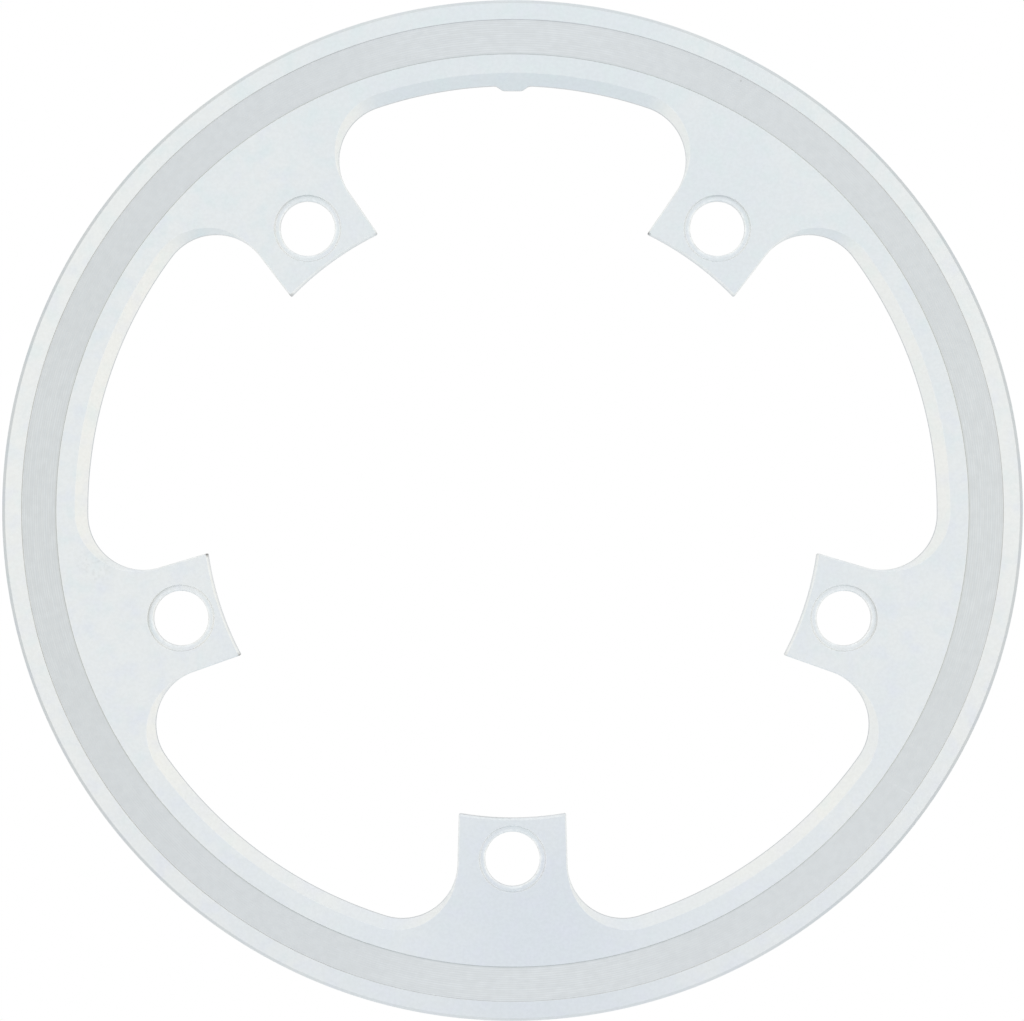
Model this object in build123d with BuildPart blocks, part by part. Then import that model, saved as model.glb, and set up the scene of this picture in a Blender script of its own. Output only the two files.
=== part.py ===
# Bicycle chain guard: a flat ring with five bolt tabs, machined from one aluminium plate.
# Millimetres. The origin is the middle of the flat back face.
# +Z leaves the front face and +Y points at the locating key.

import os
from math import hypot, radians, tan

from build123d import *

# Bolts
BOLT_COUNT = 5
BOLT_CIRCLE_DIAMETER = 130.0
BOLT_HOLE_DIAMETER = 10.2
BOLT_SEAT_DIAMETER = 12.5  # shallow seat for the bolt's head, across its upper edge
BOLT_SEAT_DEPTH = 1.0
BOLT_SEAT_WALL_RUN = 0.2  # by which the seat narrows on its way down

# Plate
PLATE_THICKNESS = 4.0
RIM_OVERHANG = 30.2  # from the bolt circle out to the rim
EDGE_BREAK = 0.2  # width of the break on the edges of the opening, the bolt holes and the rim
BACK_EDGE_SLOPE = 45.0  # degrees between an edge's break and the back face

# Bands of the front face, each measured along the radius, from the rim inwards
RIM_CHAMFER = 0.6  # 45 degree chamfer at the rim
RIM_LAND_WIDTH = 3.0  # smooth land between the chamfer and the groove
RIM_LAND_FALL = 5.5  # degrees by which the land falls away towards the rim
GROOVE_WIDTH = 6.55  # turned groove, across its edges
FACE_BAND_WIDTH = 3.45  # flat band between the groove and the window bevels
BEVEL_WIDTH = 2.3  # bevel along the middle of a window

# Turned groove
GROOVE_DEPTH = 0.4
GROOVE_WALL_RUN = 0.12  # radial run of each sloped wall

# Tabs, one to a bolt
TAB_REACH = 7.65  # from the bolt's centre in to the tab's end
TAB_END_WIDTH = 20.05
TAB_FLARE = 1.5  # degrees by which each side of a tab opens outwards
TAB_CORNER_MARGIN = 0.1  # the corners of a tab's end are rounder than the edge break by this
TAB_END_CHAMFER = 0.4  # turned chamfer on the tabs' ends, along the radius

# Windows between the tabs
WINDOW_CORNER_RADIUS = 10.35
BEVEL_SLOPE = 32.0  # degrees between a bevel, a chamfer or an edge's break and the front face
BEVEL_CORNER_MARGIN = 0.95  # a bevel's corners are rounder than its window's by this
BEVEL_SIDE_GAP = 0.05  # keeps the bevels' cutter off the sides of the tabs

# Locating key in the top window
KEY_HEIGHT = 0.95
KEY_TIP_WIDTH = 3.6
KEY_ROOT_WIDTH = 6.2
KEY_CORNER_MARGIN = 1.0  # the key's corners are rounder than the edge break by this

# How far a cutter runs past what it cuts
OVERRUN = 1.0

# Derived sizes
BOLT_CIRCLE_RADIUS = BOLT_CIRCLE_DIAMETER / 2
BOLT_HOLE_RADIUS = BOLT_HOLE_DIAMETER / 2
BOLT_SEAT_RADIUS = BOLT_SEAT_DIAMETER / 2
BOLT_SEAT_HEIGHT = PLATE_THICKNESS - BOLT_SEAT_DEPTH
RIM_RADIUS = BOLT_CIRCLE_RADIUS + RIM_OVERHANG
LAND_OUTER_RADIUS = RIM_RADIUS - RIM_CHAMFER
GROOVE_OUTER_RADIUS = LAND_OUTER_RADIUS - RIM_LAND_WIDTH
GROOVE_INNER_RADIUS = GROOVE_OUTER_RADIUS - GROOVE_WIDTH
BEVEL_RADIUS = GROOVE_INNER_RADIUS - FACE_BAND_WIDTH
WINDOW_RADIUS = BEVEL_RADIUS - BEVEL_WIDTH
LAND_OUTER_HEIGHT = PLATE_THICKNESS - RIM_LAND_WIDTH * tan(radians(RIM_LAND_FALL))
GROOVE_FLOOR_HEIGHT = PLATE_THICKNESS - GROOVE_DEPTH
TAB_END_RADIUS = BOLT_CIRCLE_RADIUS - TAB_REACH
TAB_CORNER_RADIUS = EDGE_BREAK + TAB_CORNER_MARGIN
TAB_END_HEIGHT = PLATE_THICKNESS - TAB_END_CHAMFER * tan(radians(BEVEL_SLOPE))
KEY_CORNER_RADIUS = EDGE_BREAK + KEY_CORNER_MARGIN
BEVEL_CORNER_RADIUS = WINDOW_CORNER_RADIUS + BEVEL_CORNER_MARGIN
FRONT_EDGE_DROP = EDGE_BREAK * tan(radians(BEVEL_SLOPE))
BACK_EDGE_RISE = EDGE_BREAK * tan(radians(BACK_EDGE_SLOPE))
BEVEL_CUT_DEPTH = (BEVEL_WIDTH + KEY_HEIGHT + OVERRUN) * tan(radians(BEVEL_SLOPE))

# The key points up the +Y axis, half way between two tabs
KEY_ANGLE = 90.0
FIRST_TAB_ANGLE = KEY_ANGLE + 180.0 / BOLT_COUNT

ON_CIRCLE = 1e-4  # how near a corner lies to the circle it was cut on


def corners_at(sketch, radius):
    """The sketch's corners on a circle about the origin."""
    return sketch.vertices().filter_by(lambda v: abs(hypot(v.X, v.Y) - radius) < ON_CIRCLE)


def tab_outline(reach, side_gap):
    """A tab from the centre out to a radius, pointing along +X, each side moved out by the gap."""
    flare = tan(radians(TAB_FLARE))
    centre_half_width = TAB_END_WIDTH / 2 - TAB_END_RADIUS * flare + side_gap
    reach_half_width = centre_half_width + reach * flare
    return [
        (0, -centre_half_width),
        (reach, -reach_half_width),
        (reach, reach_half_width),
        (0, centre_half_width),
    ]


def windows(radius, corner_radius, side_gap):
    """The wedges that the tabs leave of a disc, with their outer corners rounded."""
    with BuildSketch(mode=Mode.PRIVATE) as wedges:
        with PolarLocations(0, 1, start_angle=FIRST_TAB_ANGLE):
            Circle(radius)
        with PolarLocations(0, BOLT_COUNT, start_angle=FIRST_TAB_ANGLE):
            Polygon(*tab_outline(radius + OVERRUN, side_gap), align=None, mode=Mode.SUBTRACT)
        fillet(corners_at(wedges, radius), corner_radius)
    return wedges.sketch


def key_outline():
    """The key's sides, run on past the window's edge into the ring."""
    tip_height = WINDOW_RADIUS - KEY_HEIGHT
    far_height = WINDOW_RADIUS + OVERRUN
    spread = (KEY_ROOT_WIDTH - KEY_TIP_WIDTH) / 2 / KEY_HEIGHT
    tip_half_width = KEY_TIP_WIDTH / 2
    far_half_width = tip_half_width + spread * (far_height - tip_height)
    return [
        (-tip_half_width, tip_height),
        (tip_half_width, tip_height),
        (far_half_width, far_height),
        (-far_half_width, far_height),
    ]


def near_key(vertex):
    """Whether a corner of the opening belongs to the key."""
    return abs(vertex.X) < KEY_ROOT_WIDTH and vertex.Y > WINDOW_RADIUS - KEY_HEIGHT - OVERRUN


# The opening: the windows, joined by the disc that the tabs end on, less the key
with BuildSketch() as opening:
    add(windows(WINDOW_RADIUS, WINDOW_CORNER_RADIUS, 0))
    Circle(TAB_END_RADIUS)
    fillet(corners_at(opening, TAB_END_RADIUS), TAB_CORNER_RADIUS)
    Polygon(*key_outline(), align=None, mode=Mode.SUBTRACT)
    fillet(opening.vertices().filter_by(near_key), KEY_CORNER_RADIUS)


def edge_cutter(height, slope):
    """Breaks the opening's edge: wider than the opening at the bottom, and narrowing as it rises."""
    with BuildPart(mode=Mode.PRIVATE) as cutter:
        with BuildSketch():
            add(opening.sketch)
            offset(amount=EDGE_BREAK)
        extrude(amount=2 * height, taper=90 - slope)
    return cutter.part


# The window bevels, narrowing as they rise
with BuildPart() as bevel_cutter:
    with BuildSketch():
        add(windows(BEVEL_RADIUS, BEVEL_CORNER_RADIUS, BEVEL_SIDE_GAP))
    extrude(amount=BEVEL_CUT_DEPTH, taper=90 - BEVEL_SLOPE)

# One bolt's hole and seat
with BuildPart() as bolt_cutter:
    with BuildSketch(Plane.XZ):
        Polygon(
            (0, 0),
            (BOLT_HOLE_RADIUS + EDGE_BREAK, 0),
            (BOLT_HOLE_RADIUS, BACK_EDGE_RISE),
            (BOLT_HOLE_RADIUS, BOLT_SEAT_HEIGHT - FRONT_EDGE_DROP),
            (BOLT_HOLE_RADIUS + EDGE_BREAK, BOLT_SEAT_HEIGHT),
            (BOLT_SEAT_RADIUS - BOLT_SEAT_WALL_RUN, BOLT_SEAT_HEIGHT),
            (BOLT_SEAT_RADIUS, PLATE_THICKNESS),
            (0, PLATE_THICKNESS),
            align=None,
        )
    revolve(axis=Axis.Z)

with BuildPart() as chain_guard_ring:
    # Turned blank: rim, sloping land, groove and the chamfer that the tabs' ends keep
    with BuildSketch(Plane.XZ):
        Polygon(
            (0, 0),
            (RIM_RADIUS - EDGE_BREAK, 0),
            (RIM_RADIUS, BACK_EDGE_RISE),
            (RIM_RADIUS, LAND_OUTER_HEIGHT - RIM_CHAMFER),
            (LAND_OUTER_RADIUS, LAND_OUTER_HEIGHT),
            (GROOVE_OUTER_RADIUS, PLATE_THICKNESS),
            (GROOVE_OUTER_RADIUS - GROOVE_WALL_RUN, GROOVE_FLOOR_HEIGHT),
            (GROOVE_INNER_RADIUS + GROOVE_WALL_RUN, GROOVE_FLOOR_HEIGHT),
            (GROOVE_INNER_RADIUS, PLATE_THICKNESS),
            (TAB_END_RADIUS + TAB_END_CHAMFER, PLATE_THICKNESS),
            (TAB_END_RADIUS, TAB_END_HEIGHT),
            (0, TAB_END_HEIGHT),
            align=None,
        )
    revolve(axis=Axis.Z)

    # Opening, with its back edge broken
    extrude(opening.sketch, amount=PLATE_THICKNESS, mode=Mode.SUBTRACT)
    add(edge_cutter(BACK_EDGE_RISE, BACK_EDGE_SLOPE), mode=Mode.SUBTRACT)

    # Front edge break and window bevels, whose cutters are turned over
    with Locations(Location((0, 0, PLATE_THICKNESS), (0, 180, 0))):
        add(edge_cutter(FRONT_EDGE_DROP, BEVEL_SLOPE), mode=Mode.SUBTRACT)
        add(bevel_cutter.part, mode=Mode.SUBTRACT)

    # Bolt holes and seats
    with PolarLocations(BOLT_CIRCLE_RADIUS, BOLT_COUNT, start_angle=FIRST_TAB_ANGLE):
        add(bolt_cutter.part, mode=Mode.SUBTRACT)

chain_guard_ring.part.label = "chain_guard_ring"
os.makedirs("parts", exist_ok=True)
export_step(chain_guard_ring.part, "parts/chain_guard_ring.step")
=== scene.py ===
# Bicycle chain guard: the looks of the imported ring, in its own frame.
# Sizes are in millimetres, as in the CAD, until a mesh, a light or the camera is made.

import math

import bmesh
import bpy
import numpy as np
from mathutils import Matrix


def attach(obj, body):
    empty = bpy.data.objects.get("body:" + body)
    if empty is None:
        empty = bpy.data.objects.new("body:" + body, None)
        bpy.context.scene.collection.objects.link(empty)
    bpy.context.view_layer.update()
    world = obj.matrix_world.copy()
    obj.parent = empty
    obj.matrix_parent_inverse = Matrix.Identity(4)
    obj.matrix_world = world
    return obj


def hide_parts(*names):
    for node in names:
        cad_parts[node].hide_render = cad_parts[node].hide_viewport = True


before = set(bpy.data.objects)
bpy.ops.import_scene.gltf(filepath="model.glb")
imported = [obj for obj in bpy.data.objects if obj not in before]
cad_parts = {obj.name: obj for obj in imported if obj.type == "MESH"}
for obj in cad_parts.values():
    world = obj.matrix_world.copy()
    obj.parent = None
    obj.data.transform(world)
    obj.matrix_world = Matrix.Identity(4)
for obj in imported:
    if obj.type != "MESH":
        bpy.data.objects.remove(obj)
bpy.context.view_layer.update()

MM = 0.001

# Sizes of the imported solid
PLATE_THICKNESS = 4.0
RIM_RADIUS = 95.2
EDGE_BREAK = 0.2
RIM_CHAMFER = 0.6
RIM_LAND_WIDTH = 3.0
RIM_LAND_FALL = math.radians(5.5)
GROOVE_WIDTH = 6.55
GROOVE_DEPTH = 0.4
GROOVE_WALL_RUN = 0.12
FACE_BAND_WIDTH = 3.45
BEVEL_WIDTH = 2.3
BEVEL_SLOPE = math.radians(32)
BEVEL_CORNER_RADIUS = 11.3
BEVEL_SIDE_GAP = 0.05
BOLT_COUNT = 5
BOLT_CIRCLE_RADIUS = 65.0
BOLT_HOLE_RADIUS = 5.1
BOLT_SEAT_RADIUS = 6.25
BOLT_SEAT_DEPTH = 1.0
BOLT_SEAT_WALL_RUN = 0.2
TAB_END_RADIUS = 57.35
TAB_END_HALF_WIDTH = 10.025
TAB_END_CHAMFER = 0.4
TAB_FLARE = math.radians(1.5)
TAB_CORNER_RADIUS = 0.3
WINDOW_CORNER_RADIUS = 10.35
KEY_HEIGHT = 0.95
KEY_TIP_HALF_WIDTH = 1.8
KEY_ROOT_HALF_WIDTH = 3.1
KEY_CORNER_RADIUS = 1.2
KEY_ANGLE = math.radians(90)

LAND_OUTER_RADIUS = RIM_RADIUS - RIM_CHAMFER
LAND_OUTER_HEIGHT = PLATE_THICKNESS - RIM_LAND_WIDTH * math.tan(RIM_LAND_FALL)
GROOVE_OUTER_RADIUS = LAND_OUTER_RADIUS - RIM_LAND_WIDTH
GROOVE_INNER_RADIUS = GROOVE_OUTER_RADIUS - GROOVE_WIDTH
GROOVE_FLOOR_HEIGHT = PLATE_THICKNESS - GROOVE_DEPTH
BEVEL_RADIUS = GROOVE_INNER_RADIUS - FACE_BAND_WIDTH
WINDOW_RADIUS = BEVEL_RADIUS - BEVEL_WIDTH
STEEPNESS = math.tan(BEVEL_SLOPE)
FRONT_EDGE_DROP = EDGE_BREAK * STEEPNESS
HALF_PITCH = math.pi / BOLT_COUNT
TAB_ANGLES = [KEY_ANGLE + HALF_PITCH * (2 * k - 1) for k in range(BOLT_COUNT)]

# Turned lines on the groove's floor, and the least and most of what the tool left uneven
TURNED_LINES = 15
TURNED_LINE_DEPTH = 0.02
TURNED_LINE_STEPS = 6
TURNED_LINE_SEED = 7
LINE_WIDTH_SHARES = (0.9, 1.1)
LINE_DEPTH_SHARES = (0.5, 1.0)
LINE_RIDGE_SHARES = (0.8, 1.0)

# Softness of the edges and fineness of the mesh
EDGE_ROUND = 0.08
ROUND_STEPS = 3
CORNER_STEPS = 8
OUTLINE_STEP = 0.5
RIM_SEGMENTS = 360
HOLE_SEGMENTS = 72
JOIN_DISTANCE = 0.012
FLAT_FACE_WEIGHT = 100

# Dark spots on the corners of the tabs' ends and on one end, as {(tab, side): share}.
# Tabs count anticlockwise from the one right of the key, and side 1 is a tab's anticlockwise side.
DARK_CORNERS = {
    (0, 1): 0.8, (0, -1): 0.3,
    (1, 1): 1.0, (1, -1): 0.3,
    (2, 1): 0.9, (2, -1): 1.0,
    (3, 1): 0.1, (3, -1): 0.1,
    (4, 1): 0.1, (4, -1): 0.2,
}
DARK_ENDS = {(3, -1): 1.0}
DARK_SPOT_REACH = 0.5

# The extra depth of a bevel at which the painted shade on the wall under it is full
WALL_FADE = 0.6

# Width of the shade beside the groove's inner wall
GROOVE_SHADE_WIDTH = 0.25

# Painted shade on each tab's bolt seat: how dark it is at its wall, at most, on the side out and up from
# its bolt.
# The lift turns that side upwards, and the width is that of the shade on the seat's floor.
SEAT_SHADES = (0.45, 0.4, 0.65, 0.05, 0.65)
SEAT_SHADE_LIFT = 0.6
SEAT_SHADE_WIDTH = 0.3

# How bright the bolts' heads have rubbed the edges of their holes, and handling those of the tabs
SEAT_RUBBED_SHARE = 1.0
TAB_RUBBED_SHARE = 0.45


# Outlines

def rounded_path(corners, steps):
    """The path through (x, y, radius) corners, each rounded by an arc, as rows (x, y, edge).

    The edge mark is 0 at the ends of an arc and largest half way round it.
    """
    path = []
    for index, (x, y, radius) in enumerate(corners):
        if radius == 0:
            path.append((x, y, 0))
            continue
        here = np.array([x, y])
        back = np.array(corners[index - 1][:2]) - here
        ahead = np.array(corners[index + 1][:2]) - here
        back /= np.linalg.norm(back)
        ahead /= np.linalg.norm(ahead)
        half = math.acos(np.clip(back @ ahead, -1, 1)) / 2
        centre = here + (back + ahead) / np.linalg.norm(back + ahead) * radius / math.sin(half)
        start = here + back * radius / math.tan(half) - centre
        end = here + ahead * radius / math.tan(half) - centre
        sideways = np.array([-start[1], start[0]])
        turn = math.atan2(start[0] * end[1] - start[1] * end[0], start @ end)
        for share in np.linspace(0, 1, steps + 1):
            point = centre + start * math.cos(turn * share) + sideways * math.sin(turn * share)
            path.append((*point, math.sin(math.pi * share)))
    return np.array(path)


def arc(centre, radius, start, end):
    """Points along an arc without its last one, and their directions from its centre."""
    count = max(CORNER_STEPS, math.ceil(abs(end - start) * radius / OUTLINE_STEP))
    angles = np.linspace(start, end, count, endpoint=False)
    directions = np.stack([np.cos(angles), np.sin(angles)], 1)
    return centre + directions * radius, directions


def heading(vector):
    """A vector's angle, anticlockwise from the first axis."""
    return math.atan2(vector[1], vector[0])


# Half of a tab, in two axes: across the tab from its middle, and out from the ring's centre
SIDE_AHEAD = np.array([math.sin(TAB_FLARE), math.cos(TAB_FLARE)])
SIDE_ACROSS = np.array([math.cos(TAB_FLARE), -math.sin(TAB_FLARE)])
SIDE_FOOT = np.array([TAB_END_HALF_WIDTH, TAB_END_RADIUS])
RING_CENTRE = np.zeros(2)
STRAIGHT_OUT = math.pi / 2


def beside_tab(shift, distance):
    """The point beside the tab's side by a shift, at a distance from the ring's centre."""
    foot = SIDE_FOOT + SIDE_ACROSS * shift
    along = foot @ SIDE_AHEAD
    return foot + SIDE_AHEAD * (math.sqrt(along ** 2 - foot @ foot + distance ** 2) - along)


TAB_CORNER_CENTRE = beside_tab(-TAB_CORNER_RADIUS, TAB_END_RADIUS + TAB_CORNER_RADIUS)
WINDOW_CORNER_CENTRE = beside_tab(WINDOW_CORNER_RADIUS, WINDOW_RADIUS - WINDOW_CORNER_RADIUS)
BEVEL_CORNER_CENTRE = beside_tab(BEVEL_CORNER_RADIUS + BEVEL_SIDE_GAP, BEVEL_RADIUS - BEVEL_CORNER_RADIUS)


def way_to_circle(point, direction, centre, radius):
    """How far a point is from a circle along a direction, or 0 where the circle isn't ahead."""
    offset = point - centre
    along = offset @ direction
    reach = along ** 2 - offset @ offset + radius ** 2
    if reach < 0:
        return 0.0
    return max(0.0, math.sqrt(reach) - along)


def corner_bevel(point, direction):
    """The bevel's plan width along a direction and its least plan width, at a window's corner."""
    side_gap = (point - SIDE_FOOT) @ SIDE_ACROSS - BEVEL_SIDE_GAP
    rim_gap = BEVEL_RADIUS - np.linalg.norm(point)
    width = way_to_circle(point, direction, RING_CENTRE, BEVEL_RADIUS)
    towards_side = -(direction @ SIDE_ACROSS)
    if towards_side > 0:
        width = min(width, side_gap / towards_side)
    top = point + direction * width
    past_side = (top - BEVEL_CORNER_CENTRE) @ SIDE_AHEAD > 0
    if past_side and heading(top) > heading(BEVEL_CORNER_CENTRE):
        width = way_to_circle(point, direction, BEVEL_CORNER_CENTRE, BEVEL_CORNER_RADIUS)
        return width, BEVEL_CORNER_RADIUS - np.linalg.norm(point - BEVEL_CORNER_CENTRE)
    return width, min(side_gap, rim_gap)


def key_outline():
    """Half of the key from the window's arc to its middle, in the key's own two axes."""
    tip = WINDOW_RADIUS - KEY_HEIGHT
    root = math.sqrt(WINDOW_RADIUS ** 2 - KEY_ROOT_HALF_WIDTH ** 2)
    beyond = 2 * KEY_ROOT_HALF_WIDTH
    return rounded_path([
        (beyond, math.sqrt(WINDOW_RADIUS ** 2 - beyond ** 2), 0),
        (KEY_ROOT_HALF_WIDTH, root, KEY_CORNER_RADIUS),
        (KEY_TIP_HALF_WIDTH, tip, KEY_CORNER_RADIUS),
        (KEY_TIP_HALF_WIDTH / 2, tip, 0),
        (0, tip, 0),
    ], CORNER_STEPS)[1:, :2]


def sloped(point, way, width, depth, at_end=0):
    """A row of an outline whose slope rises straight along a way."""
    return *point, *(point + way * width), *way, depth, 0, at_end


def tip_meeting(margin):
    """Where the slopes of a tab's end and side meet, or beyond there by a margin."""
    return beside_tab(-EDGE_BREAK - margin, TAB_END_RADIUS + TAB_END_CHAMFER + margin)


# Columns of an outline's rows: a point, the top of the slope above it, the way on over the flat
# face, the slope's depth, and two marks for dark spots
POINT = slice(0, 2)
TOP = slice(2, 4)
BEYOND = slice(4, 6)
DEPTH = 6
AT_CORNER = 7
AT_END = 8
MIRROR = np.array([-1, 1, -1, 1, -1, 1, 1, 1, 1])


def tab_rows():
    """Rows from the middle of a tab's end, round its corner and along its side."""
    end_turn = heading(TAB_CORNER_CENTRE)
    side_turn = heading(SIDE_ACROSS)
    side_start = TAB_CORNER_CENTRE + SIDE_ACROSS * TAB_CORNER_RADIUS
    side_end = WINDOW_CORNER_CENTRE - SIDE_ACROSS * WINDOW_CORNER_RADIUS
    side_count = math.ceil(np.linalg.norm(side_end - side_start) / OUTLINE_STEP)
    corner, _ = arc(TAB_CORNER_CENTRE, TAB_CORNER_RADIUS, end_turn - math.pi, side_turn)
    tip = tip_meeting(0)
    tip_margin = tip_meeting(EDGE_ROUND)
    tip_way = (tip_margin - tip) / EDGE_ROUND
    rows = []
    for point, out in zip(*arc(RING_CENTRE, TAB_END_RADIUS, STRAIGHT_OUT, end_turn)):
        row = sloped(point, out, TAB_END_CHAMFER, TAB_END_CHAMFER * STEEPNESS, at_end=1)
        if heading(point) < heading(tip_margin):
            row = (*point, *tip, *tip_way, TAB_END_CHAMFER * STEEPNESS, 0, 1)
        rows.append(row)
    for point in corner:
        width = max(EDGE_BREAK, TAB_END_RADIUS + TAB_END_CHAMFER - np.linalg.norm(point))
        rows.append((*point, *tip, *tip_way, width * STEEPNESS, 0, 0))
    for point in np.linspace(side_start, side_end, side_count, endpoint=False):
        row = sloped(point, -SIDE_ACROSS, EDGE_BREAK, FRONT_EDGE_DROP)
        if (point - tip_margin) @ SIDE_AHEAD < 0:
            row = (*point, *tip, *tip_way, FRONT_EDGE_DROP, 0, 0)
        rows.append(row)
    rows = np.array(rows)
    from_corner = np.linalg.norm(rows[:, POINT] - corner[len(corner) // 2], axis=1)
    rows[:, AT_CORNER] = np.clip(1 - from_corner / DARK_SPOT_REACH, 0, 1)
    return rows


def window_points(start_turn, with_key):
    """Points along a window's arc to its middle, over the key where there is one."""
    middle_turn = STRAIGHT_OUT - HALF_PITCH
    middle_out = np.array([math.cos(middle_turn), math.sin(middle_turn)])
    points, _ = arc(RING_CENTRE, WINDOW_RADIUS, start_turn, middle_turn)
    if not with_key:
        return np.concatenate([points, [WINDOW_RADIUS * middle_out]])
    key = key_outline()
    key_across = np.array([-middle_out[1], middle_out[0]])
    points = points[points @ key_across > key[0][0] + OUTLINE_STEP]
    return np.concatenate([points, key[:, :1] * key_across + key[:, 1:] * middle_out])


def window_rows(with_key):
    """Rows round a window's corner and along its arc to its middle."""
    side_turn = heading(SIDE_ACROSS) + math.pi
    window_turn = heading(WINDOW_CORNER_CENTRE)
    rows = []
    for point, out in zip(*arc(WINDOW_CORNER_CENTRE, WINDOW_CORNER_RADIUS, side_turn, window_turn)):
        width, least = corner_bevel(point, out)
        rows.append(sloped(point, out, max(EDGE_BREAK, width), max(EDGE_BREAK, least) * STEEPNESS))
    for point in window_points(window_turn, with_key):
        width = BEVEL_RADIUS - np.linalg.norm(point)
        rows.append(sloped(point, point / np.linalg.norm(point), width, width * STEEPNESS))
    return np.array(rows)


def opening_outline():
    """The whole opening's rows, anticlockwise, its marks turned into shares of dark spots."""
    plain = np.concatenate([tab_rows(), window_rows(False)])
    keyed = np.concatenate([tab_rows(), window_rows(True)])
    outline = []
    for tab, angle in enumerate(TAB_ANGLES):
        halves = []
        for side in (-1, 1):
            beside_key = (tab, side) in ((0, 1), (1, -1))
            half = (keyed if beside_key else plain).copy()
            half[:, AT_CORNER] *= DARK_CORNERS[tab, side]
            half[:, AT_END] *= DARK_ENDS.get((tab, side), 0)
            halves.append(half)
        rows = np.concatenate([(halves[0] * MIRROR)[::-1][:-1], halves[1][:-1]])
        out = np.array([math.cos(angle), math.sin(angle)])
        across = np.array([-out[1], out[0]])
        for pair in (POINT, TOP, BEYOND):
            rows[:, pair] = rows[:, pair] @ np.array([across, out])
        outline.append(rows)
    return np.concatenate(outline)


def groove_floor():
    """The groove's floor: shallow scallops of uneven size left by the turning tool, edged by ridges."""
    inner = GROOVE_INNER_RADIUS + GROOVE_WALL_RUN + EDGE_ROUND
    outer = GROOVE_OUTER_RADIUS - GROOVE_WALL_RUN - EDGE_ROUND
    chance = np.random.RandomState(TURNED_LINE_SEED)
    widths = chance.uniform(*LINE_WIDTH_SHARES, TURNED_LINES)
    depths = chance.uniform(*LINE_DEPTH_SHARES, TURNED_LINES) * TURNED_LINE_DEPTH
    ridges = chance.uniform(*LINE_RIDGE_SHARES, TURNED_LINES)
    starts = inner + np.concatenate([[0], np.cumsum(widths)]) / widths.sum() * (outer - inner)
    floor = []
    for start, end, depth, ridge in zip(starts[:-1], starts[1:], depths, ridges):
        for share in np.linspace(0, 1, TURNED_LINE_STEPS, endpoint=False):
            radius = start + (end - start) * share
            dip = math.sin(math.pi * share)
            floor.append((radius, GROOVE_FLOOR_HEIGHT - depth * dip, ridge * (1 - dip)))
    return np.array(floor + [(outer, GROOVE_FLOOR_HEIGHT, 1)])


def rim_profile():
    """The turned profile, from the front face over the rim to the back face."""
    floor = groove_floor()
    inner_wall = rounded_path([
        (GROOVE_INNER_RADIUS - EDGE_ROUND, PLATE_THICKNESS, 0),
        (GROOVE_INNER_RADIUS, PLATE_THICKNESS, EDGE_ROUND),
        (GROOVE_INNER_RADIUS + GROOVE_WALL_RUN, GROOVE_FLOOR_HEIGHT, EDGE_ROUND),
        (*floor[0, :2], 0),
    ], ROUND_STEPS)
    outer_wall = rounded_path([
        (*floor[-1, :2], 0),
        (GROOVE_OUTER_RADIUS - GROOVE_WALL_RUN, GROOVE_FLOOR_HEIGHT, EDGE_ROUND),
        (GROOVE_OUTER_RADIUS, PLATE_THICKNESS, EDGE_ROUND),
        (LAND_OUTER_RADIUS, LAND_OUTER_HEIGHT, EDGE_ROUND),
        (RIM_RADIUS, LAND_OUTER_HEIGHT - RIM_CHAMFER, EDGE_ROUND),
        (RIM_RADIUS, EDGE_BREAK, EDGE_ROUND),
        (RIM_RADIUS - EDGE_BREAK, 0, EDGE_ROUND),
        (RIM_RADIUS - EDGE_BREAK - EDGE_ROUND, 0, 0),
    ], ROUND_STEPS)
    profile = np.concatenate([inner_wall[:-1], floor, outer_wall[1:]])
    # The wall mark is a painted shade along the groove's inner wall, fading out across the floor
    inset = profile[:, 0] - GROOVE_INNER_RADIUS
    shade = np.clip(1 - (inset - GROOVE_WALL_RUN) / GROOVE_SHADE_WIDTH, 0, 1)
    return np.column_stack([profile, np.where(inset > 0, shade, 0)])


def bolt_profile():
    """A bolt hole's profile, from the front face over its seat to the back face."""
    seat_height = PLATE_THICKNESS - BOLT_SEAT_DEPTH
    wall_foot = BOLT_SEAT_RADIUS - BOLT_SEAT_WALL_RUN
    profile = rounded_path([
        (BOLT_SEAT_RADIUS + EDGE_ROUND, PLATE_THICKNESS, 0),
        (BOLT_SEAT_RADIUS, PLATE_THICKNESS, EDGE_ROUND),
        (wall_foot, seat_height, EDGE_ROUND),
        (wall_foot - SEAT_SHADE_WIDTH, seat_height, 0),
        (BOLT_HOLE_RADIUS + EDGE_BREAK, seat_height, EDGE_ROUND),
        (BOLT_HOLE_RADIUS, seat_height - FRONT_EDGE_DROP, EDGE_ROUND),
        (BOLT_HOLE_RADIUS, EDGE_BREAK, EDGE_ROUND),
        (BOLT_HOLE_RADIUS + EDGE_BREAK, 0, EDGE_ROUND),
        (BOLT_HOLE_RADIUS + EDGE_BREAK + EDGE_ROUND, 0, 0),
    ], ROUND_STEPS)
    wall = np.zeros(len(profile))
    wall_top = 1 + ROUND_STEPS
    floor_start = 2 + 2 * ROUND_STEPS
    # Painted shade on the seat's wall, fading out across the floor beside it
    wall[wall_top:floor_start + 1] = 1
    hole_edge = floor_start + 2
    profile[hole_edge:hole_edge + ROUND_STEPS + 2, 2] = SEAT_RUBBED_SHARE
    return np.column_stack([profile, wall])


# Mesh

# Places of the two finishes in the ring's list of materials
FACE_FINISH = 0
GROOVE_FINISH = 1

# Marks on the mesh, which the materials read: worn edges and pale ridges of painted sheen, painted shade
# on walls, and dark spots
MARKS = ("edge", "wall", "soil")


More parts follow.
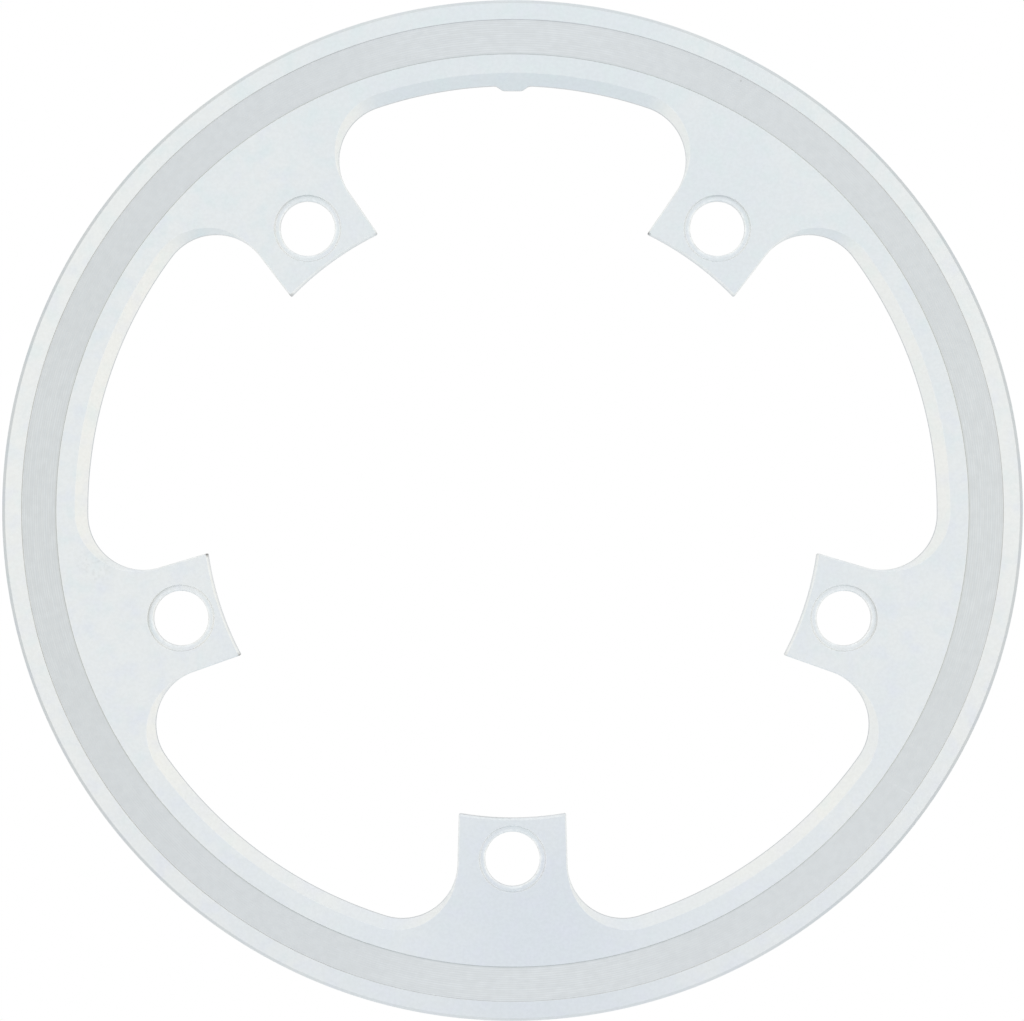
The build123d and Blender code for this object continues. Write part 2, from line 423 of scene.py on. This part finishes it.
class Shell:
    """Rings of points with marks on them, and the strips of quads between the rings."""

    def __init__(self):
        self.points = []
        self.marks = {name: [] for name in MARKS}
        self.faces = []
        self.finishes = []

    def ring(self, points, **marks):
        """Adds a ring of points with their marks, and gives the numbers of the points."""
        first = len(self.points)
        self.points.extend(map(tuple, points))
        for name in MARKS:
            self.marks[name].extend(np.broadcast_to(marks.get(name, 0.0), len(points)))
        return list(range(first, len(self.points)))

    def strips(self, rings, finishes):
        """Joins each ring to the next, and gives each strip its finish."""
        for one, other, finish in zip(rings[:-1], rings[1:], finishes):
            for k in range(len(one)):
                self.faces.append((one[k - 1], one[k], other[k], other[k - 1]))
                self.finishes.append(finish)

    def turned(self, profile, centre, segments, finishes, wall_share=1.0):
        """Turns a profile of rows (radius, height, edge mark, wall mark), using a share of the last."""
        angles = np.arange(segments) * 2 * math.pi / segments
        rings = []
        for radius, height, edge, wall in profile:
            x = centre[0] + radius * np.cos(angles)
            y = centre[1] + radius * np.sin(angles)
            points = np.stack([x, y, np.full(segments, height)], 1)
            rings.append(self.ring(points, edge=edge, wall=wall * wall_share))
        self.strips(rings, finishes)


def rim_finishes(profile):
    """The groove's own finish between its two upper edges, and the face's finish elsewhere."""
    finishes = []
    for one, other in zip(profile[:-1], profile[1:]):
        radius = (one[0] + other[0]) / 2
        high = one[1] > PLATE_THICKNESS / 2
        in_groove = GROOVE_INNER_RADIUS < radius < GROOVE_OUTER_RADIUS
        finishes.append(GROOVE_FINISH if high and in_groove else FACE_FINISH)
    return finishes


def opening_sections(outline):
    """A section through the opening's wall at each row, from the front face to the back face.

    On the front a section rises along the row's own slope, and elsewhere it goes straight in.
    """
    tangents = np.roll(outline[:, POINT], -1, 0) - np.roll(outline[:, POINT], 1, 0)
    normals = np.stack([tangents[:, 1], -tangents[:, 0]], 1)
    normals /= np.linalg.norm(normals, axis=1)[:, None]
    sections = []
    for row, normal in zip(outline, normals):
        width = row[DEPTH] / STEEPNESS
        path = rounded_path([
            (width + EDGE_ROUND, PLATE_THICKNESS, 0),
            (width, PLATE_THICKNESS, EDGE_ROUND),
            (0, PLATE_THICKNESS - row[DEPTH], EDGE_ROUND),
            (0, EDGE_BREAK, EDGE_ROUND),
            (EDGE_BREAK, 0, EDGE_ROUND),
            (EDGE_BREAK + EDGE_ROUND, 0, 0),
        ], ROUND_STEPS)
        inset = path[:, :1]
        rise = (row[TOP] - row[POINT]) * np.minimum(inset / width, 1)
        upper = rise + row[BEYOND] * np.maximum(inset - width, 0)
        on_front = np.arange(len(path)) < len(path) // 2 - (ROUND_STEPS + 1) // 2
        plan = row[POINT] + np.where(on_front[:, None], upper, normal * inset)
        sections.append(np.column_stack([plan, path[:, 1:]]))
    return np.array(sections)


def opening_rings(shell):
    """Rings of the opening's wall, with marks on its rubbed edges, painted shade on its walls, and dark
    spots.
    """
    outline = opening_outline()
    sections = opening_sections(outline)
    # Painted shade on the walls under the bevels, fuller the deeper the bevel
    wall_shade = np.clip((outline[:, DEPTH] - FRONT_EDGE_DROP) / WALL_FADE, 0, 1)

    # Where the dark spots, the slope's lower edge and the wall start along a section, and where the wall
    # ends
    soil_start = 2
    lower_edge = 2 + ROUND_STEPS
    wall_start = 1 + 3 * (ROUND_STEPS + 1) // 2
    wall_end = 1 + 2 * (ROUND_STEPS + 1)
    sections[:, lower_edge - 1:lower_edge + 1, 3] = (TAB_RUBBED_SHARE * (1 - wall_shade))[:, None]

    rings = []
    for k in range(sections.shape[1]):
        wall = wall_shade if wall_start <= k <= wall_end else 0.0
        soil = outline[:, AT_CORNER] if soil_start <= k <= wall_end else 0.0
        soil = soil + outline[:, AT_END] if lower_edge < k <= wall_start else soil
        rings.append(shell.ring(sections[:, k, :3], edge=sections[:, k, 3], wall=wall, soil=soil))
    return rings


def fill_flat(mesh, height):
    """Fills the flat face that the open edges at a height bound."""
    edges = []
    for edge in mesh.edges:
        heights = [vertex.co.z / MM for vertex in edge.verts]
        if edge.is_boundary and np.allclose(heights, height, atol=JOIN_DISTANCE):
            edges.append(edge)
    bmesh.ops.triangle_fill(mesh, edges=edges, use_beauty=True)


def seat_shade(tab):
    """Shares of the wall mark's painted shade round a tab's bolt seat, largest on the side that is
    darkest.
    """
    angle = TAB_ANGLES[tab]
    darkest = heading((math.cos(angle), math.sin(angle) + SEAT_SHADE_LIFT))
    turns = np.arange(HOLE_SEGMENTS) * 2 * math.pi / HOLE_SEGMENTS
    return SEAT_SHADES[tab] * np.clip(np.cos(turns - darkest), 0, 1) ** 2


def ring_shell():
    """The turned rim, the opening's wall and the bolt holes, with the flat faces still open."""
    shell = Shell()
    profile = rim_profile()
    shell.turned(profile, (0, 0), RIM_SEGMENTS, rim_finishes(profile))
    rings = opening_rings(shell)
    shell.strips(rings, [FACE_FINISH] * len(rings))
    profile = bolt_profile()
    for tab, angle in enumerate(TAB_ANGLES):
        centre = (BOLT_CIRCLE_RADIUS * math.cos(angle), BOLT_CIRCLE_RADIUS * math.sin(angle))
        shell.turned(profile, centre, HOLE_SEGMENTS, [FACE_FINISH] * len(profile), seat_shade(tab))
    return shell


def build_ring():
    """The whole ring as one closed mesh."""
    shell = ring_shell()
    data = bpy.data.meshes.new("machined_ring")
    data.from_pydata([tuple(np.array(p) * MM) for p in shell.points], [], shell.faces)
    data.polygons.foreach_set("material_index", shell.finishes)
    for name, values in shell.marks.items():
        attribute = data.attributes.new(name, "FLOAT", "POINT")
        attribute.data.foreach_set("value", np.array(values, np.float32))
    mesh = bmesh.new()
    mesh.from_mesh(data)
    bmesh.ops.remove_doubles(mesh, verts=mesh.verts, dist=JOIN_DISTANCE * MM)
    fill_flat(mesh, PLATE_THICKNESS)
    fill_flat(mesh, 0)
    bmesh.ops.recalc_face_normals(mesh, faces=mesh.faces)
    for face in mesh.faces:
        face.smooth = True
    mesh.to_mesh(data)
    mesh.free()
    ring = bpy.data.objects.new("machined_ring", data)
    bpy.context.scene.collection.objects.link(ring)
    weights = ring.modifiers.new("flat_faces", "WEIGHTED_NORMAL")
    weights.mode = "FACE_AREA"
    weights.weight = FLAT_FACE_WEIGHT
    return ring


# Shader nodes

# Detail of a noise, and where nearly all of its values lie
PLAIN_DETAIL = 1.0
FINE_DETAIL = 2.0
NOISE_RANGE = (0.3, 0.7)


class Graph:
    """Adds nodes to a shader's tree; an input takes another node's output or a value."""

    def __init__(self, tree):
        self.tree = tree

    def feed(self, socket, value):
        """Links an output to an input, or sets the input's own value."""
        if isinstance(value, bpy.types.NodeSocket):
            self.tree.links.new(value, socket)
        elif socket.type == "RGBA":
            socket.default_value = (*value, 1)
        else:
            socket.default_value = value

    def node(self, kind, inputs, **settings):
        node = self.tree.nodes.new(kind)
        for name, value in settings.items():
            setattr(node, name, value)
        for key, value in inputs.items():
            self.feed(node.inputs[key], value)
        return node

    def maths(self, operation, *values):
        return self.node("ShaderNodeMath", dict(enumerate(values)), operation=operation).outputs[0]

    def vectors(self, operation, *values):
        return self.node("ShaderNodeVectorMath", dict(enumerate(values)), operation=operation)

    def ranged(self, value, start, end, low=0.0, high=1.0):
        """Goes smoothly from low to high as a value goes from start to end."""
        inputs = {"Value": value, "From Min": start, "From Max": end, "To Min": low, "To Max": high}
        return self.node("ShaderNodeMapRange", inputs, interpolation_type="SMOOTHSTEP").outputs["Result"]

    def mixed(self, share, one, other, blend="MIX"):
        """Goes from one colour to another, or to a blend with it, as a share goes from 0 to 1."""
        inputs = {0: share, 6: one, 7: other}
        return self.node("ShaderNodeMix", inputs, data_type="RGBA", blend_type=blend).outputs[2]

    def lit(self, value, colour):
        """Makes a colour lighter or darker by a value."""
        return self.node("ShaderNodeHueSaturation", {"Value": value, "Color": colour}).outputs[0]

    def noise(self, place, size, detail=FINE_DETAIL):
        """Noise whose patches are about as large as a size."""
        inputs = {"Vector": place, "Scale": 1 / size, "Detail": detail}
        return self.node("ShaderNodeTexNoise", inputs).outputs["Fac"]

    def mark(self, name):
        """A mark of the mesh."""
        return self.node("ShaderNodeAttribute", {}, attribute_name=name).outputs["Fac"]


# Materials

# Grain of both finishes
ROUGHNESS = 0.36
ROUGHNESS_SPREAD = 0.05
GRAIN_SIZE = 0.19
FACE_GRAIN_DEPTH = 0.006
GROOVE_GRAIN_DEPTH = 0.003

# Tints of the face: warmer away from an upright line, greener at the head and bluer at the foot, which is
# painted light, over random patches.
# The shift takes the bluer patches from another part of the noise than the greener ones.
COOL_TONE = (0.864, 0.880, 0.896)
WARM_TONE = (0.920, 0.914, 0.903)
GREEN_TONE = (0.857, 0.894, 0.894)
VIOLET_TONE = (0.873, 0.878, 0.912)
WARM_MIDDLE = 10.0
WARM_SLOPE = 0.008
WARM_PATCH_SIZE = 16.0
WARM_RANGE = (0.45, 1.25)
GREEN_SLOPE = 0.0009
VIOLET_SLOPE = -0.0007
TINT_PATCH_SIZE = 4.0
TINT_RANGE = (0.45, 0.85)
NOISE_SHIFT = (300, 0, 0)

# Painted shade at the foot and a stain on the face, with their distances from a place where they start
# and where they are full.
# The foot's painted shade is on level faces only, and LEVEL_RANGE is how far up their normals point.
FOOT_SHADE = (0.943, 0.950, 0.970)
FOOT_PLACE = (5, -78, PLATE_THICKNESS)
FOOT_RANGE = (38.0, 4.0)
LEVEL_RANGE = (0.87, 0.98)
STAIN_SHADE = (0.93, 0.93, 0.93)
STAIN_PLACE = (-77.8, -10.3, PLATE_THICKNESS)
STAIN_RANGE = (5.0, 1.0)
STAIN_PATCH_SIZE = 0.7
STAIN_PATCH_RANGE = (0.45, 0.7)

# Painted shade on the walls, worn edges, dark spots and speckle of the face
WALL_SHADE_TONE = (0.64, 0.66, 0.67)
BARE_TONE = (0.975, 0.98, 0.985)
CHIP_SIZE = 1.2
CHIP_RANGE = (0.4, 0.6)
LEAST_WEAR = 0.3
DARK_SPOT_TONE = (0.10, 0.09, 0.08)
DARK_SPOT_PATCH_SIZE = 0.5
DARK_SPOT_PATCH_RANGE = (0.3, 0.6)
LEAST_DARK_SPOT = 0.4
SPECKLE_SIZE = 0.6
SPECKLE_LIGHTS = (0.984, 1.016)

# Groove: turned lines in a painted sheen, which shows best straight up, down and sideways from the ring's
# centre
GROOVE_PLAIN_TONE = (0.780, 0.783, 0.788)
GROOVE_DARK_TONE = (0.785, 0.788, 0.793)
GROOVE_PALE_TONE = (0.877, 0.882, 0.890)
# Painted shade along the groove's inner wall
GROOVE_INNER_SHADE_TONE = (0.712, 0.729, 0.729)
# Painted shade on the groove's left and right sides
GROOVE_SIDE_SHADE = (0.9565, 0.9565, 0.945)
STREAK_LENGTH = 3.5
STREAK_WIDTH = 0.45
STREAK_RANGE = (0.35, 0.65)
LEAST_STREAK = 0.3
LINES_RANGE = (0.92, 1.005)
LEAST_LINES = 0.1
SIDEWAYS_GAIN = 1.015
# A painted sheen from darker at the left to lighter at the right, and random mottle
SHEEN_LIGHTS = (0.989, 1.011)
MOTTLE_SIZE = 1.6
MOTTLE_LIGHTS = (0.984, 1.016)

# Marks in the groove
SPECK_TONE = (0.62, 0.62, 0.62)
SPECK_PLACE = (42.6, 80.1, GROOVE_FLOOR_HEIGHT)
SPECK_RADIUS = 0.22
SCRATCH_START = np.array([70.2, -50.5, GROOVE_FLOOR_HEIGHT])
SCRATCH_END = np.array([74.6, -53.1, GROOVE_FLOOR_HEIGHT])
SCRATCH_HALF_WIDTH = 0.28
SCRATCH_STRENGTH = 0.45
SCRATCH_GAP_SIZE = 0.9
SCRATCH_GAP_RANGE = (0.35, 0.55)


def new_metal(name):
    """A bare metal's material, its graph and its shader."""
    material = bpy.data.materials.new(name)
    material.use_nodes = True
    shader = material.node_tree.nodes["Principled BSDF"]
    shader.inputs["Metallic"].default_value = 1.0
    return material, Graph(material.node_tree), shader


def millimetres(graph):
    """The place on the part, in millimetres."""
    place = graph.node("ShaderNodeTexCoord", {}).outputs["Object"]
    return graph.vectors("MULTIPLY", place, (1 / MM,) * 3).outputs[0]


def add_grain(graph, shader, place, depth):
    """Fine grain in the roughness and in the surface."""
    fine = graph.noise(place, GRAIN_SIZE)
    rough = graph.ranged(fine, *NOISE_RANGE, ROUGHNESS - ROUGHNESS_SPREAD, ROUGHNESS + ROUGHNESS_SPREAD)
    graph.feed(shader.inputs["Roughness"], rough)
    bump = graph.node("ShaderNodeBump", {"Strength": 1.0, "Distance": depth * MM, "Height": fine})
    graph.feed(shader.inputs["Normal"], bump.outputs["Normal"])


def face_tints(graph, place):
    """A cool tone with warmer, greener and bluer patches, and painted light that warms the sides and
    tints the head and foot.
    """
    elsewhere = graph.vectors("ADD", place, NOISE_SHIFT).outputs[0]
    x, y, _ = graph.node("ShaderNodeSeparateXYZ", {0: place}).outputs
    sideways = graph.maths("ABSOLUTE", graph.maths("SUBTRACT", x, WARM_MIDDLE))
    patches = graph.noise(place, WARM_PATCH_SIZE, PLAIN_DETAIL)
    warmer = graph.maths("MULTIPLY_ADD", sideways, WARM_SLOPE, patches)
    greener = graph.maths("MULTIPLY_ADD", y, GREEN_SLOPE, graph.noise(place, TINT_PATCH_SIZE))
    bluer = graph.maths("MULTIPLY_ADD", y, VIOLET_SLOPE, graph.noise(elsewhere, TINT_PATCH_SIZE))
    colour = graph.mixed(graph.ranged(warmer, *WARM_RANGE), COOL_TONE, WARM_TONE)
    colour = graph.mixed(graph.ranged(greener, *TINT_RANGE), colour, GREEN_TONE)
    return graph.mixed(graph.ranged(bluer, *TINT_RANGE), colour, VIOLET_TONE)


def face_shades(graph, place, colour):
    """Darkens the level face at the ring's foot with painted shade, and adds a patchy stain near its left
    side.
    """
    normal = graph.node("ShaderNodeTexCoord", {}).outputs["Normal"]
    level = graph.ranged(graph.node("ShaderNodeSeparateXYZ", {0: normal}).outputs["Z"], *LEVEL_RANGE)
    # Painted shade on level faces near the foot
    to_foot = graph.vectors("DISTANCE", place, FOOT_PLACE).outputs["Value"]
    at_foot = graph.maths("MULTIPLY", level, graph.ranged(to_foot, *FOOT_RANGE))
    colour = graph.mixed(at_foot, colour, FOOT_SHADE, "MULTIPLY")
    to_stain = graph.vectors("DISTANCE", place, STAIN_PLACE).outputs["Value"]
    patches = graph.ranged(graph.noise(place, STAIN_PATCH_SIZE), *STAIN_PATCH_RANGE)
    stain = graph.maths("MULTIPLY", graph.ranged(to_stain, *STAIN_RANGE), patches)
    return graph.mixed(stain, colour, STAIN_SHADE, "MULTIPLY")


def satin_face():
    """Satin anodised aluminium: tints, painted shade at the foot and on the walls, a stain, paler edges,
    dark spots.
    """
    material, graph, shader = new_metal("satin_face")
    place = millimetres(graph)
    colour = face_shades(graph, place, face_tints(graph, place))
    # Painted shade on the walls
    colour = graph.mixed(graph.mark("wall"), colour, WALL_SHADE_TONE)
    chipped = graph.ranged(graph.noise(place, CHIP_SIZE), *CHIP_RANGE, LEAST_WEAR)
    worn = graph.maths("MULTIPLY", graph.mark("edge"), chipped)
    colour = graph.mixed(worn, colour, BARE_TONE)
    patches = graph.noise(place, DARK_SPOT_PATCH_SIZE, PLAIN_DETAIL)
    patchy = graph.ranged(patches, *DARK_SPOT_PATCH_RANGE, LEAST_DARK_SPOT)
    colour = graph.mixed(graph.maths("MULTIPLY", graph.mark("soil"), patchy), colour, DARK_SPOT_TONE)
    speckle = graph.ranged(graph.noise(place, SPECKLE_SIZE), *NOISE_RANGE, *SPECKLE_LIGHTS)
    graph.feed(shader.inputs["Base Color"], graph.lit(speckle, colour))
    add_grain(graph, shader, place, FACE_GRAIN_DEPTH)
    return material


def turned_lines(graph, radius, around, aligned):
    """Pale ridges on a darker floor in a painted sheen, streaky round the ring, and plain where the sheen
    doesn't show.
    """
    along = graph.vectors("MULTIPLY", around, (GROOVE_OUTER_RADIUS / STREAK_LENGTH,) * 3).outputs[0]
    outward = graph.maths("DIVIDE", radius, STREAK_WIDTH)
    outward = graph.node("ShaderNodeCombineXYZ", {"Z": outward}).outputs[0]
    streaks = graph.noise(graph.vectors("ADD", along, outward).outputs[0], 1.0, PLAIN_DETAIL)
    streaky = graph.ranged(streaks, *STREAK_RANGE, LEAST_STREAK)
    ridge = graph.maths("MULTIPLY", graph.mark("edge"), streaky)
    lined = graph.mixed(ridge, GROOVE_DARK_TONE, GROOVE_PALE_TONE)
    return graph.mixed(graph.ranged(aligned, *LINES_RANGE, LEAST_LINES), GROOVE_PLAIN_TONE, lined)


def scratch(graph, place):
    """The share of a broken, thin scratch across the groove at a place."""
    length = float(np.linalg.norm(SCRATCH_END - SCRATCH_START))
    ahead = (SCRATCH_END - SCRATCH_START) / length
    offset = graph.vectors("SUBTRACT", place, SCRATCH_START).outputs[0]
    along = graph.vectors("DOT_PRODUCT", offset, ahead).outputs["Value"]
    across = graph.vectors("DOT_PRODUCT", offset, (-ahead[1], ahead[0], 0)).outputs["Value"]
    from_middle = graph.maths("ABSOLUTE", graph.maths("SUBTRACT", along, length / 2))
    within = graph.ranged(from_middle, length / 2, length / 3)
    thin = graph.ranged(graph.maths("ABSOLUTE", across), SCRATCH_HALF_WIDTH, 0.0)
    gaps = graph.noise(place, SCRATCH_GAP_SIZE, PLAIN_DETAIL)
    broken = graph.ranged(gaps, *SCRATCH_GAP_RANGE, 0.0, SCRATCH_STRENGTH)
    return graph.maths("MULTIPLY", graph.maths("MULTIPLY", within, thin), broken)


def turned_groove():
    """Aluminium with a turning tool's fine lines in a painted sheen, painted shade on the inner wall and
    sides, and a few marks.
    """
    material, graph, shader = new_metal("turned_groove")
    place = millimetres(graph)
    flat = graph.vectors("MULTIPLY", place, (1, 1, 0)).outputs[0]
    radius = graph.vectors("LENGTH", flat).outputs["Value"]
    around = graph.vectors("NORMALIZE", flat).outputs[0]
    x, y, _ = graph.node("ShaderNodeSeparateXYZ", {0: around}).outputs
    # How much of the lines' painted sheen shows, by how near a place is to straight up, down or sideways
    sideways = graph.maths("MULTIPLY", graph.maths("ABSOLUTE", x), SIDEWAYS_GAIN)
    upright = graph.maths("ABSOLUTE", y)
    colour = turned_lines(graph, radius, around, graph.maths("MAXIMUM", sideways, upright))
    # Painted shade along the inner wall
    colour = graph.mixed(graph.mark("wall"), colour, GROOVE_INNER_SHADE_TONE)
    # Painted shade on the left and right sides
    colour = graph.mixed(graph.ranged(upright, 1.0, 0.0), colour, GROOVE_SIDE_SHADE, "MULTIPLY")
    colour = graph.mixed(scratch(graph, place), colour, GROOVE_PALE_TONE)
    to_speck = graph.vectors("DISTANCE", place, SPECK_PLACE).outputs["Value"]
    colour = graph.mixed(graph.ranged(to_speck, SPECK_RADIUS, SPECK_RADIUS / 2), colour, SPECK_TONE)
    # A painted sheen, darker at the left and lighter at the right
    sheen = graph.ranged(x, -1.0, 1.0, *SHEEN_LIGHTS)
    mottle = graph.ranged(graph.noise(place, MOTTLE_SIZE), *NOISE_RANGE, *MOTTLE_LIGHTS)
    graph.feed(shader.inputs["Base Color"], graph.lit(graph.maths("MULTIPLY", sheen, mottle), colour))
    add_grain(graph, shader, place, GROOVE_GRAIN_DEPTH)
    return material


ring = build_ring()
ring.data.materials.append(satin_face())
ring.data.materials.append(turned_groove())
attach(ring, "root")
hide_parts("chain_guard_ring")

# Floor

FLOOR_REACH = 3000.0
FLOOR_GAP = 0.05

floor_mesh = bpy.data.meshes.new("floor")
floor_reach = FLOOR_REACH * MM
floor_corners = [(x * floor_reach, y * floor_reach, 0) for x, y in ((-1, -1), (1, -1), (1, 1), (-1, 1))]
floor_mesh.from_pydata(floor_corners, [], [range(4)])
floor = bpy.data.objects.new("floor", floor_mesh)
bpy.context.scene.collection.objects.link(floor)
floor.location.z = -FLOOR_GAP * MM
floor_material = bpy.data.materials.new("white_floor")
floor_material.use_nodes = True
floor_graph = Graph(floor_material.node_tree)
floor_graph.tree.nodes.remove(floor_graph.tree.nodes["Principled BSDF"])
glow = floor_graph.node("ShaderNodeEmission", {"Color": (1, 1, 1)})
floor_graph.feed(floor_graph.tree.nodes["Material Output"].inputs["Surface"], glow.outputs[0])
floor_mesh.materials.append(floor_material)
floor.visible_diffuse = False
floor.visible_glossy = False
floor.visible_shadow = False

# Light: a white tent, creamy at both sides, bluish at the foot and darker along the horizon

OVERHEAD = (0.805, 0.866, 0.918)
NEAR_HEAD = (0.765, 0.848, 0.912)
NEAR_FOOT = (0.790, 0.830, 0.865)
HEAD = (0.885, 0.925, 0.955)
FOOT = (0.745, 0.81, 0.85)
CREAM = (1.002, 1.0, 0.958)
SIDE_HORIZON = (0.58, 0.62, 0.64)
END_HORIZON = (0.755, 0.79, 0.80)
BELOW = (0.80, 0.81, 0.82)

# Where a colour starts and where it is full, along a direction's x (right), y (head) or z (up)
NEAR_HEAD_SPAN = (0.0, 0.25)
HEAD_SPAN = (0.35, 0.85)
NEAR_FOOT_SPAN = (0.0, -0.25)
FOOT_SPAN = (-0.35, -0.85)
NEAR_TOP_SPAN = (0.8, 0.95)
HORIZON_SPAN = (0.35, 0.0)
HORIZON_SIDE_SPAN = (0.3, 0.8)
BELOW_SPAN = (-0.2, -0.6)

# The cream at the sides is less near the head, near the foot and far out to the left and right
CREAM_SPAN = (0.0, 0.4)
CREAM_HEAD_SPAN = (1.0, 0.65)
CREAM_HEAD_SLANT = 0.15
CREAM_FOOT_SPAN = (-0.835, -0.58)
CREAM_LEFT_SPAN = (-0.9, -0.55)
CREAM_LEFT_SHARE = 0.74
CREAM_RIGHT_SPAN = (0.9, 0.55)
CREAM_RIGHT_SHARE = 0.85

world = bpy.data.worlds.new("tent")
world.use_nodes = True
bpy.context.scene.world = world
sky = Graph(world.node_tree)
direction = sky.node("ShaderNodeTexCoord", {}).outputs["Generated"]
x, y, z = sky.node("ShaderNodeSeparateXYZ", {0: direction}).outputs
across = sky.maths("ABSOLUTE", x)
slanted = sky.maths("MULTIPLY_ADD", x, CREAM_HEAD_SLANT, y)

creamy = sky.ranged(across, *CREAM_SPAN)
creamy = sky.maths("MULTIPLY", creamy, sky.ranged(slanted, *CREAM_HEAD_SPAN))
creamy = sky.maths("MULTIPLY", creamy, sky.ranged(y, *CREAM_FOOT_SPAN))
creamy = sky.maths("MULTIPLY", creamy, sky.ranged(x, *CREAM_LEFT_SPAN, CREAM_LEFT_SHARE))
creamy = sky.maths("MULTIPLY", creamy, sky.ranged(x, *CREAM_RIGHT_SPAN, CREAM_RIGHT_SHARE))
near_foot = sky.maths("MULTIPLY", sky.ranged(y, *NEAR_FOOT_SPAN), sky.ranged(z, *NEAR_TOP_SPAN))
colour = sky.mixed(sky.ranged(y, *NEAR_HEAD_SPAN), OVERHEAD, NEAR_HEAD)
colour = sky.mixed(sky.ranged(y, *HEAD_SPAN), colour, HEAD)
colour = sky.mixed(sky.ranged(y, *FOOT_SPAN), colour, FOOT)
colour = sky.mixed(creamy, colour, CREAM)
colour = sky.mixed(near_foot, colour, NEAR_FOOT)
horizon = sky.mixed(sky.ranged(across, *HORIZON_SIDE_SPAN), END_HORIZON, SIDE_HORIZON)
colour = sky.mixed(sky.ranged(z, *HORIZON_SPAN), colour, horizon)
colour = sky.mixed(sky.ranged(z, *BELOW_SPAN), colour, BELOW)
sky.feed(sky.tree.nodes["Background"].inputs["Color"], colour)

# Camera, straight above the front face and a little to the left of the ring's axis.
# The lens gives the rim a radius of RIM_PIXELS in a picture that is PICTURE_WIDTH pixels wide.

CAMERA_DISTANCE = 1400.0
PICTURE_WIDTH = 1024
RIM_PIXELS = 510.73
SENSOR_WIDTH = 36.0
AIM_SHIFT = -0.09
VIEW_REACH = 10000.0

camera_data = bpy.data.cameras.new("camera")
camera_data.sensor_width = SENSOR_WIDTH
camera_data.lens = SENSOR_WIDTH * RIM_PIXELS / PICTURE_WIDTH * CAMERA_DISTANCE / RIM_RADIUS
camera_data.clip_end = VIEW_REACH * MM
camera = bpy.data.objects.new("camera", camera_data)
bpy.context.scene.collection.objects.link(camera)
camera.location = (AIM_SHIFT * MM, 0, (PLATE_THICKNESS + CAMERA_DISTANCE) * MM)
bpy.context.scene.camera = camera
bpy.context.scene.view_settings.view_transform = "Standard"

bpy.context.view_layer.update()
